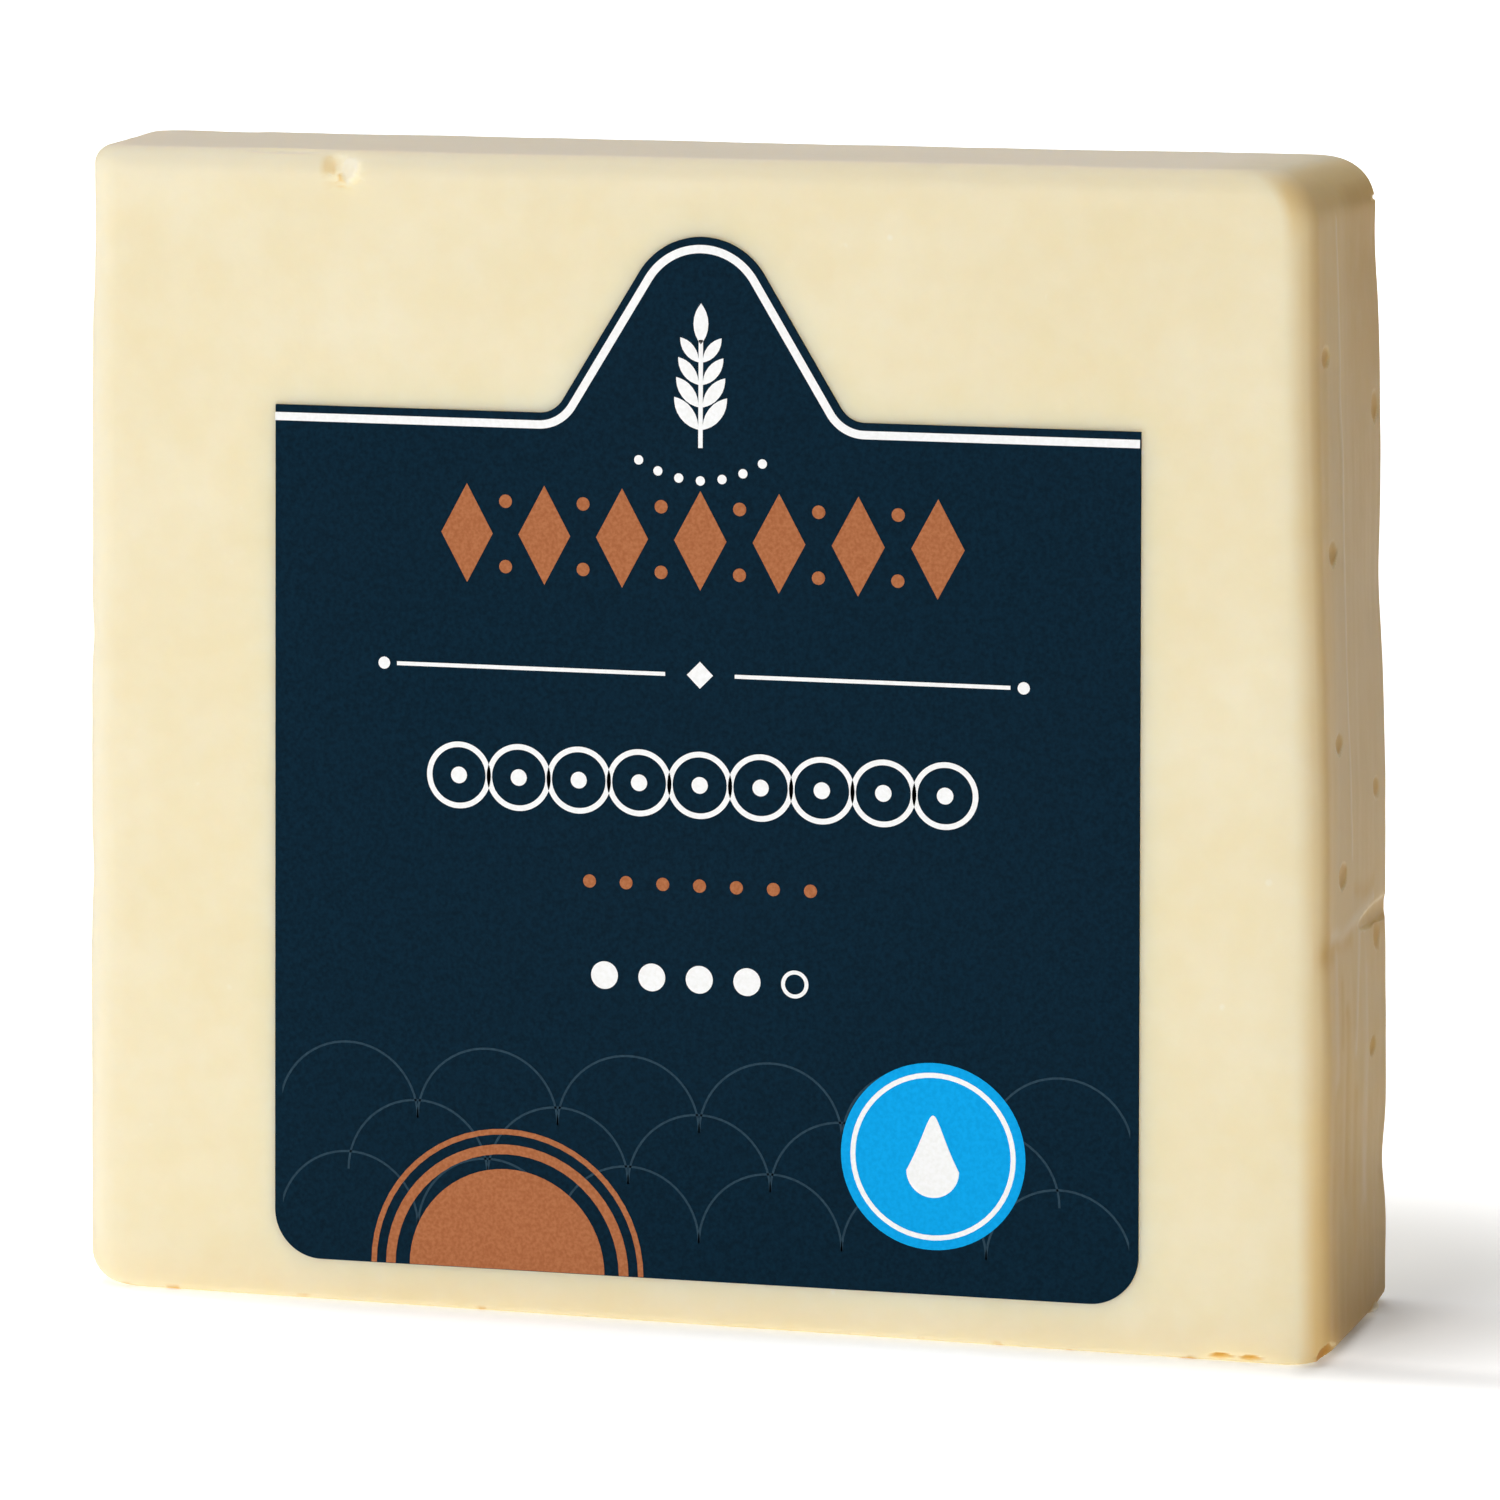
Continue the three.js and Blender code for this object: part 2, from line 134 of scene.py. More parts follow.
cheeseForm = {
    "leftLean": 0.7,            # how far each side leans in by the top
    "rightLean": 2.8,
    "leftSlant": leftSlant,
    "uprightRadius": 3.0,
    "topFrontRadius": 2.2,
    "topBackRadius": 2.0,
    "topLeftRadius": 1.6,
    "topRightRadius": 4.6,
    "baseRadius": 0.7,
    "baseLeftRadius": 3.0,
    "baseRightRadius": 1.6,
    "steps": (96, 56, 140),     # grid across, deep and high
    "roundSteps": 7,
    "topSteps": 14,
    "baseSteps": 9,
    "fineTurn": 0.9,            # the grid is finer where a face turns this far to the right
    # pressed dents: middle, push and spread
    "dents": [
        ((right, back, 97), (-0.45, 0, 0), (6, 16, 6)),
        ((right, back, 66), (-0.3, 0, 0), (6, 9, 5)),
        ((right, back, 13.5), (-0.45, 0, 0), (6, 8, 3.5)),
        ((right, back, 2), (-0.25, 0, 0), (6, 8, 6)),
        ((right, 6, 46), (0.25, 0, 0), (6, 12, 9)),
        ((right, 0, 26), (0.25, 0, 0), (6, 12, 8)),
        ((right, front, 86), (-0.3, 0, 0), (6, 8, 14)),
        ((right, front, 45), (0.35, 0, 0), (6, 8, 24)),
        ((left + leftSlant, front, 98), (0.35, 0, 0), (5, 12, 10)),
        ((left + leftSlant, front, 60), (0.25, 0, 0), (5, 12, 2.5)),
        ((left + leftSlant, front, 38), (0.2, 0, 0), (5, 12, 3)),
        ((left, 6, 74), (0.3, 0, 0), (6, 10, 9)),
        ((-24, back, 58), (0, -0.3, 0), (18, 6, 14)),
        ((30, back, 34), (0, -0.25, 0), (15, 6, 10)),
        ((14, 4, top), (0, 0, -0.2), (22, 8, 4)),
    ],
    # gaps between curds: how golden the painted shade in them is, then across the face, up it, half width
    # and half height
    "curdGaps": {
        "right": (0.8, [
            (-10, 87.9, 1.5, 0.9), (-8.2, 70.7, 1.9, 1.1), (-7.2, 53.8, 1.8, 1.0), (-6, 42, 1.9, 1.2),
            (10.5, 82, 1.4, 1.5), (8.6, 48, 1.4, 1.0), (8.8, 34.6, 1.6, 1.5), (6.3, 24.9, 1.4, 0.9),
        ]),
        "left": (0.5, [
            (-6.5, 81, 1.6, 0.9), (-3.4, 79.2, 0.9, 0.6), (5.2, 63, 1.9, 1.0), (-3.4, 41.5, 1.5, 1.1),
            (8.4, 22, 1.7, 0.9), (6, 20.1, 0.8, 0.7),
        ]),
        "back": (0.5, [
            (-38, 79, 1.8, 0.9), (-34.6, 76.8, 1.0, 0.8), (17, 88, 1.5, 0.8), (41, 52, 2.0, 1.0),
            (-11, 27, 1.7, 1.0), (-7.4, 28.3, 1.1, 0.7),
        ]),
    },
    "curdGapDepth": 0.2,
    "chipWaver": (0.3, 1.5),    # how far a hollow strays from a round one, and over what length
    "chipFiner": 1.4,           # the grid is finer this many radii round a hollow
    "chipRim": 6,               # power by which a hollow's colour fades to its rim
    # a crease across the right side, with golden painted shade inside
    "crease": {"y": 15, "z": 36.6, "standOff": 0.1, "radii": (0.36, 15, 1.1), "goldenShade": 0.4},
    # chips in the edges: middle, radii, the way that the surface gives, golden painted shade or pale inside,
    # and how far
    "edgeChips": [
        # the nick by the top front edge: pale inside, most of all on the facet towards the light, a painted
        # highlight
        ((-30.8, front + 0.3, 103.3), (0.8, 0.75, 1.5), (0, 1, -0.8), "tornAndHighlight", 0.2),
        ((-29.6, front + 0.2, 102.5), (0.9, 0.5, 1.8), (-0.3, 1, -0.3), "tornAndHighlight", 0.8),
        ((-36.2, front + 0.6, top), (5, 1.5, 0.45), (0, 0.6, -1), "tornAndHighlight", 0.3),
        ((-51.2, back - 2.6, top), (4.2, 1.6, 0.14), (0, 0, -1), "gap", 0.35),
        ((right - 3.2, back - 2, 100.3), (0.4, 2.6, 0.22), (-1, -0.5, 0), "gap", 0.3),
        ((51, front, 0.55), (1.05, 0.5, 0.32), (0, 1, 0.2), "gap", 1),
        ((53.6, front, 0.5), (0.85, 0.45, 0.28), (0, 1, 0.2), "gap", 1),
        ((right - 0.4, front + 2.9, 0.3), (0.75, 2.8, 1.6), (-1, 0.3, 0.1), "gap", 1),
        ((right, back - 3.2, 0.2), (0.8, 2.6, 0.9), (-1, 0, 0.4), "gap", 0.6),
        ((right - 0.45, back - 8.4, 0.9), (0.7, 1.5, 0.55), (1, 0, 0), "tornAndHighlight", 1),    # a flake
    ],
    "lineWaver": (0.3, 5),      # how far the lines stray from their paths, and over what length
    "lineSeed": 5,              # without a seed, the noise that they stray by changes with each run
    "lineBreaks": (0.6, 4),     # how far they fade on the way, and over what length
    "lineReach": 3,             # half widths at which they have died away
    # lines across each face: path of (across, up), height, half width, golden painted shade or pale, and how
    # far
    "lines": {
        "right": [
            ([(-5.6, 99.3), (-2.1, 43.3)], 0.1, 0.4, "tornAndHighlight", 0.25),
            ([(7.2, 38.3), (2.2, 37.7), (-2.7, 37.4), (-6.9, 37.1), (-11.8, 37.4)], 0.06, 0.6, "tornAndHighlight", 0.22),
            ([(-13.2, 36.2), (-10.4, 35.8)], -0.06, 1.3, "gap", 0.6),
            ([(-9, 36.2), (-3, 36)], -0.06, 0.9, "gap", 0.35),
            ([(6.2, 36.6), (9.8, 35.6), (13, 35.4)], -0.05, 1.4, "gap", 0.5),
            ([(-0.4, 40), (4.1, 39.2), (7, 39.6)], -0.05, 0.9, "gap", 0.35),
            ([(-7, 32.4), (-7.5, 27.1)], -0.06, 0.8, "gap", 0.45),
            ([(0.7, 36), (-0.4, 31.4), (-2, 26)], 0.06, 0.6, "tornAndHighlight", 0.22),
            ([(-9.5, 35), (-9.9, 25)], 0.04, 0.9, "tornAndHighlight", 0.16),
            ([(-5.2, 29.6), (-5.6, 14)], -0.06, 0.9, "gap", 0.4),
            ([(3.5, 32), (2.9, 24), (2.6, 12)], 0.04, 1.0, "tornAndHighlight", 0.16),
            ([(-1.6, 22), (-1.8, 8)], -0.04, 0.9, "gap", 0.3),
            ([(-10.4, 22), (-10.6, 3)], 0, 0.9, "gap", 0.35),
            ([(-8.8, 33), (-8.8, 18)], 0, 2.2, "gap", 0.28),
        ],
        "left": [
            ([(-9, 92), (-7.6, 34)], 0.04, 0.9, "tornAndHighlight", 0.25),
            ([(-12, 44.5), (-1, 43.2), (11, 45)], -0.05, 1.2, "gap", 0.15),
        ],
        "back": [
            ([(-52, 71), (-20, 70), (8, 71.6)], 0.05, 1.5, "tornAndHighlight", 0.25),
            ([(22, 97), (24.5, 42)], 0.05, 1.5, "tornAndHighlight", 0.25),
            ([(-44, 37), (-20, 35.6), (9, 34.4), (30, 35.4)], -0.06, 1.6, "gap", 0.12),
        ],
    },
    # drawn down by the cut, on both ends
    "streaks": {"height": 0.04, "spacing": 1.5, "length": 30, "turn": 0.7},
    "unevenness": ((0.07, 11), (0.03, 3.5)),    # height and size of each layer
    "steadyFoot": (0.5, 2),                     # where above the base it starts, and over what height
    "faceTurn": 0.6,                            # a face takes its lines where it turns this far
    "frontTurn": 0.5,
    "labelMargin": 3,                           # the front stays flat this far round the label
    "rimWidth": 2.2,
}


def drawnIn(radius, distance):
    # how far a rounded edge has drawn in, at a distance from the flat it runs into
    short = max(radius - max(distance, 0), 0)
    return radius - math.sqrt(radius ** 2 - short ** 2)


def gridShare(step, steps, roundSteps, roundShare):
    # narrow steps over the rounded ends, even ones between
    if step <= roundSteps:
        return roundShare * step / roundSteps
    if step >= steps - roundSteps:
        return 1 - roundShare * (steps - step) / roundSteps
    return roundShare + (1 - 2 * roundShare) * (step - roundSteps) / (steps - 2 * roundSteps)


def rowHeight(step, s):
    base, topStart = s["baseLeftRadius"], top - s["topRightRadius"]
    straight = s["steps"][2] - s["baseSteps"] - s["topSteps"]
    if step <= s["baseSteps"]:
        return base * (1 - math.cos(step / s["baseSteps"] * math.pi / 2))
    if step >= s["baseSteps"] + straight:
        turn = (step - s["baseSteps"] - straight) / s["topSteps"]
        return topStart + s["topRightRadius"] * math.sin(turn * math.pi / 2)
    return base + (topStart - base) * (step - s["baseSteps"]) / straight


def levelAt(z, s):
    # left, right, front and back of the block at a height
    base, below, rise = drawnIn(s["baseRadius"], z), top - z, z / top
    baseLeft, baseRight = drawnIn(s["baseLeftRadius"], z), drawnIn(s["baseRightRadius"], z)
    return (
        left + baseLeft + drawnIn(s["topLeftRadius"], below) + s["leftLean"] * rise,
        right - baseRight - drawnIn(s["topRightRadius"], below) - s["rightLean"] * rise,
        front + base + drawnIn(s["topFrontRadius"], below),
        back - base - drawnIn(s["topBackRadius"], below),
    )


def slantAt(level, x, y, s):
    # the slant of the left end: most at the front left, none at the back or on the right
    lowX, highX = level[:2]
    return s["leftSlant"] * (back - y) / (back - front) * (highX - x) / (highX - lowX)


def pointOnLevel(level, across, deep, radius):
    # a point of the level, with its square corners drawn onto quarter circles
    lowX, highX, lowY, highY = level
    point = Vector((lowX + (highX - lowX) * across, lowY + (highY - lowY) * deep))
    core = Vector((
        min(max(point.x, lowX + radius), highX - radius),
        min(max(point.y, lowY + radius), highY - radius),
    ))
    away = point - core
    if away.x == 0 or away.y == 0:
        return point
    return core + away * (max(abs(away.x), abs(away.y)) / away.length)


def ramp(value, start=0, length=1):
    # 0 up to the start, rising evenly to 1 over the length
    return min(max((value - start) / length, 0), 1)


def near(value, middle, spread):
    # 1 at the middle, falling away to both sides
    return math.exp(-((value - middle) / spread) ** 2)


def fade(away, spread):
    # the same in all three directions
    return math.exp(-sum((a / w) ** 2 for a, w in zip(away, spread)))


def pressed(point, s):
    # where the soft dents have pushed a point
    pushes = [Vector(push) * fade(point - Vector(middle), spread) for middle, push, spread in s["dents"]]
    return sum(pushes, point)


def cheeseGrid(s):
    # a box cut into a grid, then drawn onto the rounded, leaning and slanted form
    bm = bmesh.new()
    bmesh.ops.create_cube(bm, size=1)
    for axis, count in enumerate(s["steps"]):
        along = [e for e in bm.edges if abs((e.verts[0].co - e.verts[1].co)[axis]) > tiny]
        bmesh.ops.subdivide_edges(bm, edges=along, cuts=count - 1, use_grid_fill=True)
    stepsX, stepsY = s["steps"][:2]
    radius = s["uprightRadius"]
    for vert in bm.verts:
        stepX, stepY, stepZ = [round((vert.co[i] + 0.5) * s["steps"][i]) for i in range(3)]
        across = gridShare(stepX, stepsX, s["roundSteps"], radius / (right - left))
        deep = gridShare(stepY, stepsY, s["roundSteps"], radius / (back - front))
        z = rowHeight(stepZ, s)
        level = levelAt(z, s)
        plan = pointOnLevel(level, across, deep, radius)
        vert.co = pressed(Vector((plan.x + slantAt(level, plan.x, plan.y, s), plan.y, z)), s)
    bm.normal_update()
    side = {e for f in bm.faces if f.normal.x > s["fineTurn"] for e in f.edges}
    bmesh.ops.subdivide_edges(bm, edges=list(side), cuts=1, use_grid_fill=True)
    return bm


def vertsNear(bm, middle, reach):
    return [
        v for v in bm.verts
        if abs(v.co.z - middle.z) < reach.z and abs(v.co.y - middle.y) < reach.y
        and abs(v.co.x - middle.x) < reach.x
    ]


def carve(bm, s, middle, radii, way, layer, strength):
    # split the grid round a hollow, then push what lies inside its ball out along the way
    middle, radii, way = Vector(middle), Vector(radii), Vector(way).normalized()
    split = {e for v in vertsNear(bm, middle, radii * s["chipFiner"]) for e in v.link_edges}
    bmesh.ops.subdivide_edges(bm, edges=list(split), cuts=1, use_grid_fill=True)
    heading = Vector([way[i] / radii[i] for i in range(3)])
    stray, length = s["chipWaver"]
    stray *= min(length / max(radii), 1)    # a long hollow strays less
    for vert in vertsNear(bm, middle, radii * (1 + stray)):
        inside = Vector([(vert.co[i] - middle[i]) / radii[i] for i in range(3)])
        inside *= 1 + stray * noise.noise(vert.co / length)
        if inside.length >= 1:
            continue
        a, b, c = heading.length_squared, inside.dot(heading), inside.length_squared - 1
        vert.co += way * ((-b + math.sqrt(b * b - a * c)) / a)
        vert[layer] = max(vert[layer], strength * (1 - inside.length ** s["chipRim"]))


def labelClear(point, margin):
    # 0 under the label, rising to 1 beyond the margin round it
    away = max(labelLow.x - point.x, point.x - labelHigh.x, point.z - labelHigh.z, labelLow.z - point.z)
    return ramp(away, 0, margin)


def onLine(spot, path, halfWidth, reach):
    # 1 on a line across a face, falling away beside it and past its ends
    nearest = reach * halfWidth
    heights = [up for across, up in path]
    if max(min(heights) - spot.y, spot.y - max(heights)) > nearest:
        return 0
    for start, end in zip(path, path[1:]):
        start, end = Vector(start), Vector(end)
        foot, share = geometry.intersect_point_line(spot, start, end)
        foot = start if share < 0 else end if share > 1 else foot.to_2d()
        nearest = min(nearest, (spot - foot).length)
    return near(nearest, 0, halfWidth)


def roughen(bm, s, layers):
    # the lines and streaks of the cut faces, and the soft unevenness of pressed curd
    streaks = s["streaks"]
    (stray, strayLength), (breaks, breakLength) = s["lineWaver"], s["lineBreaks"]
    noise.seed_set(s["lineSeed"])
    bm.normal_update()
    for vert in bm.verts:
        p, normal = vert.co.copy(), vert.normal
        steady = ramp(p.z, *s["steadyFoot"])
        if -normal.y > s["frontTurn"]:
            steady *= labelClear(p, s["labelMargin"])
        lift = steady * sum(height * noise.noise(p / size) for height, size in s["unevenness"])
        if abs(normal.x) > streaks["turn"]:
            drawn = Vector((p.y / streaks["spacing"], p.z / streaks["length"], p.x))
            lift += steady * streaks["height"] * noise.noise(drawn)
        turns = {"right": normal.x, "left": -normal.x, "back": normal.y}
        face = next((name for name, turn in turns.items() if turn > s["faceTurn"]), None)
        if face:
            strayed = p + stray * noise.noise_vector(p / strayLength)
            spot = strayed.xz if face == "back" else strayed.yz
            whole = 1 - breaks * abs(noise.noise(p / breakLength))
            for path, height, halfWidth, layer, strength in s["lines"][face]:
                share = whole * onLine(spot, path, halfWidth, s["lineReach"])
                lift += height * share
                vert[layers[layer]] = max(vert[layers[layer]], strength * share)
        vert.co += normal * lift
        vert.co.z = max(vert.co.z, 0)


def rimShare(point, s):
    # 1 on a rounded edge, falling away over the flats
    level = levelAt(min(point.z, top - s["topRightRadius"]), s)
    lowX, highX, lowY, highY = level
    gaps = sorted((
        min(point.x - lowX - slantAt(level, lowX, point.y, s), highX - point.x),
        min(point.y - lowY, highY - point.y),
        top - point.z,
    ))
    return near(max(gaps[1], 0), 0, s["rimWidth"])


# what each mark turns the cheese to, laid on in this order
cheddarMarks = {
    "cut": "#d7ba8b",       # painted shade: the sides, deeper than the front
    "paintedGlow": "#ecc67f",     # painted light: a warm glow where light comes through the corner
    "dry": "#f5edd5",       # painted highlight on the rounded edges
    "paintedSheen": "#f6e9d3",      # painted sheen: the top paled as by a reflection
    "foot": "#9c7a45",      # shade, most of all on the right side close to the base
    "gap": "#cf9f4e",       # golden painted shade, in gaps and hollows
    "tornAndHighlight": "#f0ebdc",      # pale, where it has torn, and painted highlight on facets and raised lines towards the light
}

# where the marks show: a ramp has its start and length, and a spot its middle and spread
cheddarTints = {
    "side": (0.2, 0.5),             # ramps over the turn to the right
    "overSide": (0.05, 0.4),
    "upright": (0.8, 0.18),
    "cut": (0.8, 0.2),
    "cutShares": (0.85, 0.8),       # how far the back and the left end take the painted side shade
    "cutLevel": (1.2, 2.2),         # fades where a face turns up
    "rightEnd": (46, 9),            # ramp along the block
    # painted light: a warm glow on the right side, by the front, round the top right, below the top and low
    # down
    "glowFront": (0.5, 3, 4.5),    # strength, then mm behind the front
    "glowRound": (0.65, 101.5, 4),     # strength, then mm up
    "glowTop": (0.4, 0, 24),       # strength, then mm below the top
    "glowLow": (0.8, 0, 38),
    # painted shade, golden, on the upper back of the right side
    "rearDeep": (-4, 6),            # ramp from the middle to the back
    "rearDrop": (0, 26),            # mm below the top
    "rearGoldenShade": 0.42,
    "shadeRear": 0.13,
    "shadeLow": (0.55, (0, 18), (1, 7)),        # strength, mm up, ramp behind the front
    "shadeMid": (0.18, (20, 16), (-7, 7)),      # strength, mm up, ramp from the middle to the back
    "shadeTop": (0.16, 4),          # strength, power of the upward turn
    "shadeCorner": (0.06, 0, 5),    # strength, then mm from the front's right edge
    "shadeFront": (0.045, (40, 60), (-60, 90)),     # strength, ramps up the front and along it
    "dry": (0.55, 0.25),            # painted highlight on the edges: strength in the middle, and how much less at the right
    "highlightTurn": 2,                   # how fast it goes as the face turns to the right
    "highlightFoot": (1, 4),
    "paintedSheen": (0.95, 0.6, 16),        # painted sheen on the top: strength, how much less at the right end, power of the upward turn
}


def tint(bm, s, t, layers):
    # how far each mark shows at each point, most of them painted light and shade
    backShare, leftShare = t["cutShares"]
    standing, perTurn = t["cutLevel"]
    low, mid, over, along = t["shadeLow"], t["shadeMid"], t["shadeTop"], t["shadeFront"]
    corner, *cornerSpot = t["shadeCorner"]
    highlightMiddle, highlightFall = t["dry"]
    sheenMost, sheenFall, sheenPower = t["paintedSheen"]
    bm.normal_update()
    for vert in bm.verts:
        normal, (x, y, z) = vert.normal, vert.co
        toFront, toTop = max(-normal.y, 0), max(normal.z, 0)
        side, overSide = ramp(normal.x, *t["side"]), ramp(normal.x, *t["overSide"])
        rightEnd = ramp(x, *t["rightEnd"])
        # painted shade: the sides darker and deeper than the front, most of all the right side
        cuts = (normal.x, backShare * normal.y, -leftShare * normal.x)
        vert[layers["cut"]] = ramp(max(cuts), *t["cut"]) * ramp(standing - perTurn * normal.z)
        # painted light: a warm glow, as of light come through the block
        glows = (
            (t["glowFront"], side, y - front),
            (t["glowRound"], overSide, z),
            (t["glowTop"], side, top - z),
            (t["glowLow"], side, z),
        )
        vert[layers["paintedGlow"]] = max(
            strength * turn * near(place, middle, spread)
            for (strength, middle, spread), turn, place in glows
        )
        # painted shade, golden and darker, on the upper back of the right side
        rear = ramp(normal.x, *t["upright"]) * ramp(y, *t["rearDeep"]) * near(top - z, *t["rearDrop"])
        vert[layers["gap"]] = max(vert[layers["gap"]], t["rearGoldenShade"] * rear)
        vert[layers["foot"]] = max(
            low[0] * side * near(z, *low[1]) * ramp(y - front, *low[2]),
            mid[0] * side * near(z, *mid[1]) * ramp(y, *mid[2]),
            t["shadeRear"] * rear,
            over[0] * toTop ** over[1] * rightEnd,
            corner * toFront * near(x - right + s["rightLean"] * z / top, *cornerSpot),
            along[0] * toFront * ramp(z, *along[1]) * ramp(x, *along[2]),
        )
        # painted highlight on the rounded edges: most on the left, none on faces turned to the right or
        # close to the base
        aside = ramp(1 - t["highlightTurn"] * normal.x) * ramp(z, *t["highlightFoot"])
        vert[layers["dry"]] = (highlightMiddle - highlightFall * x / right) * rimShare(vert.co, s) * aside
        # painted sheen: the top paled as by a reflection, less at the shaded right end
        vert[layers["paintedSheen"]] = (sheenMost - sheenFall * rightEnd) * toTop ** sheenPower


def buildCheese(s, material):
    bm = cheeseGrid(s)
    layers = {name: bm.verts.layers.float.new(name) for name in cheddarMarks}
    depth = s["curdGapDepth"]
    for face, (goldenShade, gaps) in s["curdGaps"].items():
        for across, up, width, height in gaps:
            level = levelAt(up, s)
            lowX, highX, _, highY = level
            slanted = lowX + slantAt(level, lowX, across, s)
            middle, radii, way = {
                "right": ((highX, across, up), (depth, width, height), (-1, 0, 0)),
                "left": ((slanted, across, up), (depth, width, height), (1, 0, 0)),
                "back": ((across, highY, up), (width, depth, height), (0, -1, 0)),
            }[face]
            carve(bm, s, pressed(Vector(middle), s), radii, way, layers["gap"], goldenShade)
    crease = s["crease"]
    middle = (levelAt(crease["z"], s)[1] + crease["standOff"], crease["y"], crease["z"])
    carve(bm, s, middle, crease["radii"], (-1, 0, 0), layers["gap"], crease["goldenShade"])
    for middle, radii, way, layer, strength in s["edgeChips"]:
        carve(bm, s, middle, radii, way, layers[layer], strength)
    roughen(bm, s, layers)
    tint(bm, s, cheddarTints, layers)
    finishPiece("cheeseBlock", bm, material, "cheese_block")


cheddarLook = {
    "cloudSize": 16,        # mm, pressed curds that show as soft clouds
    "mottleSize": 3.2,
    "grainSize": 0.55,
    "noiseDetail": 3.0,
    "mottleShare": 0.22,
    "fleckSize": 2.6,       # mm between the pale flecks
    "fleckEdge": (0.16, 0.08),      # where in its cell a fleck starts, and where it is full
    "somePatches": (0.6, 0.7),      # where in the mottle the flecks and the base's gold set in
    "bandHeight": (0.6, 0.1),       # mm up the base edge at which the gold starts, and is full
    "softBump": (0.25, 0.25),       # strength, and mm of height
    "fineBump": (0.2, 0.05),
    "roughness": (0.42, 0.6),
    "refraction": 1.45,
    "specular": 0.12,
    "scatter": 4.5,         # mm that light travels under the surface
    "scatterShare": 0.7,
    "scatterColours": (1.0, 0.62, 0.25),
    "cloudStops": [(0.32, "#f2e3b9"), (0.5, "#f3e5be"), (0.7, "#f5e9c6")],
    "mottleStops": [(0.35, "#f1e1b5"), (0.65, "#f7eed3")],
    "fleck": "#f8f0d8",
    "baseGold": "#d8a648",
}


def agedCheddar(s):
    # aged cheddar, pressed in a block and cut: milky, soft at the edges, with a dull waxy sheen
    material, tree = newMaterial("agedCheddarPressed")
    place = addNode(tree, "ShaderNodeTexCoord").outputs["Object"]
    clouds, mottle, grain = [
        addNode(tree, "ShaderNodeTexNoise", {"Scale": 1 / (s[size] * mm), "Detail": s["noiseDetail"]},
                {"Vector": place})
        for size in ("cloudSize", "mottleSize", "grainSize")
    ]
    body = addNode(tree, "ShaderNodeValToRGB", {}, {"Fac": clouds.outputs["Fac"]}, s["cloudStops"])
    speck = addNode(tree, "ShaderNodeValToRGB", {}, {"Fac": mottle.outputs["Fac"]}, s["mottleStops"])
    body = addNode(tree, "ShaderNodeMix", {0: s["mottleShare"]},
                   {6: body.outputs["Color"], 7: speck.outputs["Color"]}, data_type="RGBA")

    # tiny pale crystals, here and there
    cells = addNode(tree, "ShaderNodeTexVoronoi", {"Scale": 1 / (s["fleckSize"] * mm)}, {"Vector": place})
    fleckStart, fleckFull = s["fleckEdge"]
    fleck = addNode(tree, "ShaderNodeMapRange", {"From Min": fleckStart, "From Max": fleckFull},
                    {"Value": cells.outputs["Distance"]})
    someStart, someFull = s["somePatches"]
    some = addNode(tree, "ShaderNodeMapRange", {"From Min": someStart, "From Max": someFull},
                   {"Value": mottle.outputs["Fac"]})
    fleckShare = addNode(tree, "ShaderNodeMath", {}, {0: fleck.outputs["Result"], 1: some.outputs["Result"]},
                         operation="MULTIPLY")
    body = addNode(tree, "ShaderNodeMix", {7: linear(s["fleck"])},
                   {0: fleckShare.outputs[0], 6: body.outputs[2]}, data_type="RGBA")

    # painted shade on the sides, painted glow through the corner, painted highlight on the edges, painted
    # sheen on the top, painted shade low on the right side, golden painted shade in gaps, palest where it
    # has torn
    for mark, colour in cheddarMarks.items():
        share = addNode(tree, "ShaderNodeAttribute", attribute_name=mark)
        body = addNode(tree, "ShaderNodeMix", {7: linear(colour)},
                       {0: share.outputs["Fac"], 6: body.outputs[2]}, data_type="RGBA")

    # a thin broken band of gold along the base edge
    split = addNode(tree, "ShaderNodeSeparateXYZ", {}, {0: place})
    bandStart, bandFull = s["bandHeight"]
    band = addNode(tree, "ShaderNodeMapRange", {"From Min": bandStart * mm, "From Max": bandFull * mm},
                   {"Value": split.outputs["Z"]})
    bandShare = addNode(tree, "ShaderNodeMath", {}, {0: band.outputs["Result"], 1: some.outputs["Result"]},
                        operation="MULTIPLY")
    body = addNode(tree, "ShaderNodeMix", {7: linear(s["baseGold"])},
                   {0: bandShare.outputs[0], 6: body.outputs[2]}, data_type="RGBA")

    # waxy grain: a broad soft layer under a fine one
    (softStrength, softHeight), (fineStrength, fineHeight) = s["softBump"], s["fineBump"]
    soft = addNode(tree, "ShaderNodeBump", {"Strength": softStrength, "Distance": softHeight * mm},
                   {"Height": mottle.outputs["Fac"]})
    fine = addNode(tree, "ShaderNodeBump", {"Strength": fineStrength, "Distance": fineHeight * mm},
                   {"Height": grain.outputs["Fac"], "Normal": soft.outputs["Normal"]})
    waxy, dry = s["roughness"]
    sheen = addNode(tree, "ShaderNodeMapRange", {"To Min": waxy, "To Max": dry},
                    {"Value": mottle.outputs["Fac"]})
    shader = addNode(tree, "ShaderNodeBsdfPrincipled", {
        "IOR": s["refraction"],
        "Specular IOR Level": s["specular"],
        "Subsurface Weight": s["scatterShare"],
        "Subsurface Radius": s["scatterColours"],
        "Subsurface Scale": s["scatter"] * mm,
    }, {
        "Base Color": body.outputs[2],
        "Roughness": sheen.outputs["Result"],
        "Normal": fine.outputs["Normal"],
    }, subsurface_method="BURLEY")
    addNode(tree, "ShaderNodeOutputMaterial", {}, {"Surface": shader.outputs["BSDF"]})
    return material


buildCheese(cheeseForm, agedCheddar(cheddarLook))


# Label: a die-cut sheet on the front, drawn from the front with x across and z up

